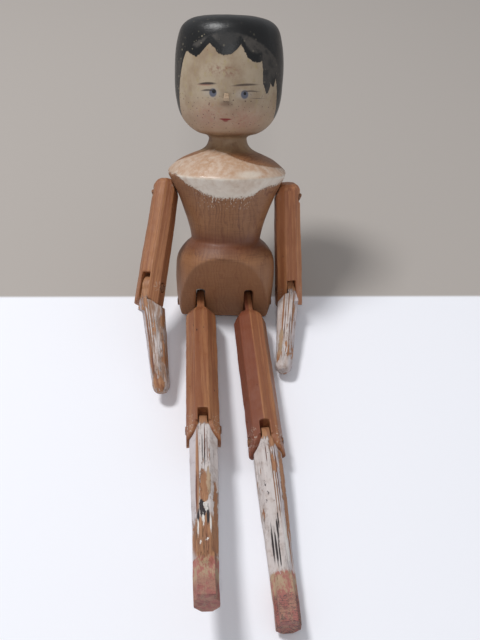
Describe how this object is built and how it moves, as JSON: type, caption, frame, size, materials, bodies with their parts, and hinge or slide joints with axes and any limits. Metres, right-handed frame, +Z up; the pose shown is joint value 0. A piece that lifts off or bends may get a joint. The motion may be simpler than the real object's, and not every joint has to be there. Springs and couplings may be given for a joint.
{
  "type": "jointed wooden doll",
  "caption": "Seated peg-jointed wooden doll with a turned head and torso, painted hair and face, and whittled arms and legs that fold at pegged shoulders, elbows, hips and knees.",
  "frame": {"origin": "middle of the seat flat under the hips, on the floor plane", "axes": "+Z up, the doll faces -Y, +X is its own left side"},
  "size_m": [0.0705, 0.2151, 0.1168],
  "materials": {
    "turned_pine": "waxed bare pine with cream paint on face, neck yoke and black gloss hair",
    "face_paint": "aged cream paint over wood",
    "limb_pine": "waxed bare pine",
    "painted_limb": "worn white paint over pine, red-brown at the shoes",
    "peg": "dry split hardwood"
  },
  "bodies": {
    "torso": {"head_torso": "turned_pine", "nose_wedge": "face_paint", "right_shoulder_peg": "peg", "left_shoulder_peg": "peg", "right_hip_peg": "peg", "left_hip_peg": "peg"},
    "right_upper_arm": {"right_upper_arm": "limb_pine", "right_elbow_peg": "peg"},
    "right_forearm": {"right_forearm": "painted_limb"},
    "right_thigh": {"right_thigh": "limb_pine", "right_knee_peg": "peg"},
    "right_lower_leg": {"right_lower_leg": "painted_limb"},
    "left_upper_arm": {"left_upper_arm": "limb_pine", "left_elbow_peg": "peg"},
    "left_forearm": {"left_forearm": "painted_limb"},
    "left_thigh": {"left_thigh": "limb_pine", "left_knee_peg": "peg"},
    "left_lower_leg": {"left_lower_leg": "painted_limb"}
  },
  "joints": [
    {"name": "right_shoulder", "type": "hinge", "parent": "torso", "child": "right_upper_arm", "pos_m": [-0.0215, 0.01279, 0.0511], "axis": [0.9285, 0.1686, 0.3309], "continuous": true},
    {"name": "right_elbow", "type": "hinge", "parent": "right_upper_arm", "child": "right_forearm", "pos_m": [-0.02967, -0.02226, 0.02485], "axis": [0.9102, -0.3138, 0.2702], "range_deg": [-86, 4]},
    {"name": "right_hip", "type": "hinge", "parent": "torso", "child": "right_thigh", "pos_m": [-0.0103, -0.01048, 0.00762], "axis": [0.9978, 0.0663, 0], "range_deg": [-27.8, 73.2]},
    {"name": "right_knee", "type": "hinge", "parent": "right_thigh", "child": "right_lower_leg", "pos_m": [-0.00524, -0.08661, 0.01316], "axis": [0.9978, 0.0663, 0], "range_deg": [0, 100]},
    {"name": "left_shoulder", "type": "hinge", "parent": "torso", "child": "left_upper_arm", "pos_m": [0.0215, 0.01279, 0.0511], "axis": [0.9285, -0.1686, -0.3309], "continuous": true},
    {"name": "left_elbow", "type": "hinge", "parent": "left_upper_arm", "child": "left_forearm", "pos_m": [0.0278, -0.00417, 0.01039], "axis": [0.9793, 0.2013, -0.0189], "range_deg": [-30, 60]},
    {"name": "left_hip", "type": "hinge", "parent": "torso", "child": "left_thigh", "pos_m": [0.00975, -0.01048, 0.00762], "axis": [0.9949, 0.1011, 0], "range_deg": [-31.7, 69.3]},
    {"name": "left_knee", "type": "hinge", "parent": "left_thigh", "child": "left_lower_leg", "pos_m": [0.01753, -0.08709, 0.00787], "axis": [0.9949, 0.1011, 0], "range_deg": [-3.3, 96.7]}
  ]
}
